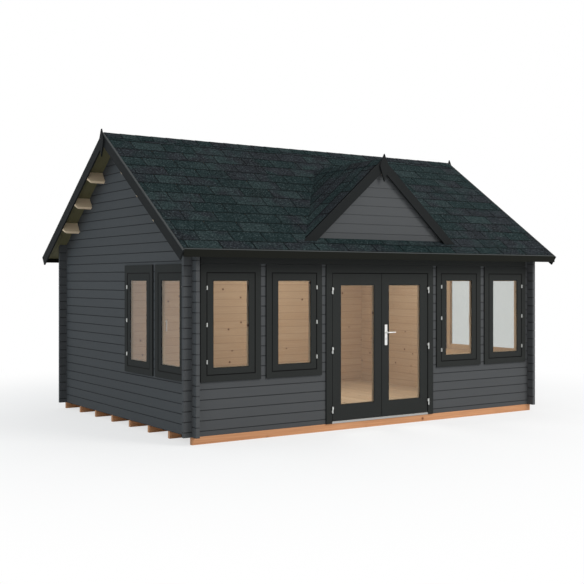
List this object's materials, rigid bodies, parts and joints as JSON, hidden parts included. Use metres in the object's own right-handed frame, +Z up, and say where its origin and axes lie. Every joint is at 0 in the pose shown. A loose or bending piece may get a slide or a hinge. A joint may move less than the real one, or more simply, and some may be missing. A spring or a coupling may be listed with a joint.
{
  "type": "log cabin",
  "caption": "Timber log cabin with a glazed double door, framed windows, a gable roof and a small front gable; doors and lever turn.",
  "frame": {"origin": "on the ground under the centre of the cabin's outline, which is centred on the roof's edges", "axes": "+Z up, +X along the front wall and the ridge to the right seen from the front, -Y out of the front doors"},
  "size_m": [5.826, 4.324, 3.688],
  "materials": {
    "grey_logs": "dark grey opaque timber paint over machined logs",
    "charcoal_joinery": "charcoal opaque timber paint, smooth joinery",
    "charcoal_boards": "charcoal opaque timber paint on planed boards",
    "bare_pine": "bare planed pine with knots",
    "treated_bearers": "brown pressure treated sawn timber",
    "roof_shingles": "mineral grit bitumen shingles, blue green and black blend",
    "window_glass": "clear double glazing",
    "bright_metal": "satin zinc and steel"
  },
  "bodies": {
    "cabin": {"back_fascia": "charcoal_boards", "back_roof_deck": "bare_pine", "back_shingles": "roof_shingles", "back_wall": "grey_logs", "door_frame": "charcoal_joinery", "door_hinge_pins": "bright_metal", "door_threshold": "bright_metal", "dormer_barge_boards": "charcoal_boards", "dormer_deck": "bare_pine", "dormer_shingles": "roof_shingles", "dormer_wall": "grey_logs", "finials": "charcoal_boards", "floor_bearers": "treated_bearers", "floor_boards": "bare_pine", "front_fascia": "charcoal_boards", "front_left_window_frames": "charcoal_joinery", "front_left_window_panes": "window_glass", "front_left_window_sashes": "charcoal_joinery", "front_right_window_frames": "charcoal_joinery", "front_right_window_panes": "window_glass", "front_right_window_sashes": "charcoal_joinery", "front_roof_deck": "bare_pine", "front_shingles": "roof_shingles", "front_wall_left": "grey_logs", "front_wall_right": "grey_logs", "front_wall_top": "grey_logs", "left_barge_boards": "charcoal_boards", "left_side_window_frames": "charcoal_joinery", "left_side_window_panes": "window_glass", "left_side_window_sashes": "charcoal_joinery", "left_wall": "grey_logs", "purlins": "bare_pine", "ridge_caps": "roof_shingles", "right_barge_boards": "charcoal_boards", "right_side_window_frames": "charcoal_joinery", "right_side_window_panes": "window_glass", "right_side_window_sashes": "charcoal_joinery", "right_wall": "grey_logs"},
    "left_door": {"left_door_leaf": "charcoal_joinery", "left_door_pane": "window_glass", "left_door_hinges": "bright_metal"},
    "right_door": {"right_door_leaf": "charcoal_joinery", "right_door_pane": "window_glass", "right_door_hinges": "bright_metal", "door_handle_plates": "bright_metal"},
    "door_lever": {"door_lever": "bright_metal"}
  },
  "joints": [
    {"name": "left_door_hinge", "type": "hinge", "parent": "cabin", "child": "left_door", "pos_m": [-0.762, -1.927, 0.965], "axis": [0, 0, -1], "range_deg": [0, 120]},
    {"name": "right_door_hinge", "type": "hinge", "parent": "cabin", "child": "right_door", "pos_m": [0.762, -1.927, 0.965], "axis": [0, 0, 1], "range_deg": [0, 120]},
    {"name": "lever_turn", "type": "hinge", "parent": "right_door", "child": "door_lever", "pos_m": [0.065, -1.912, 1.158], "axis": [0, 1, 0], "range_deg": [0, 40], "stiffness_Nm_per_rad": 1.5}
  ]
}
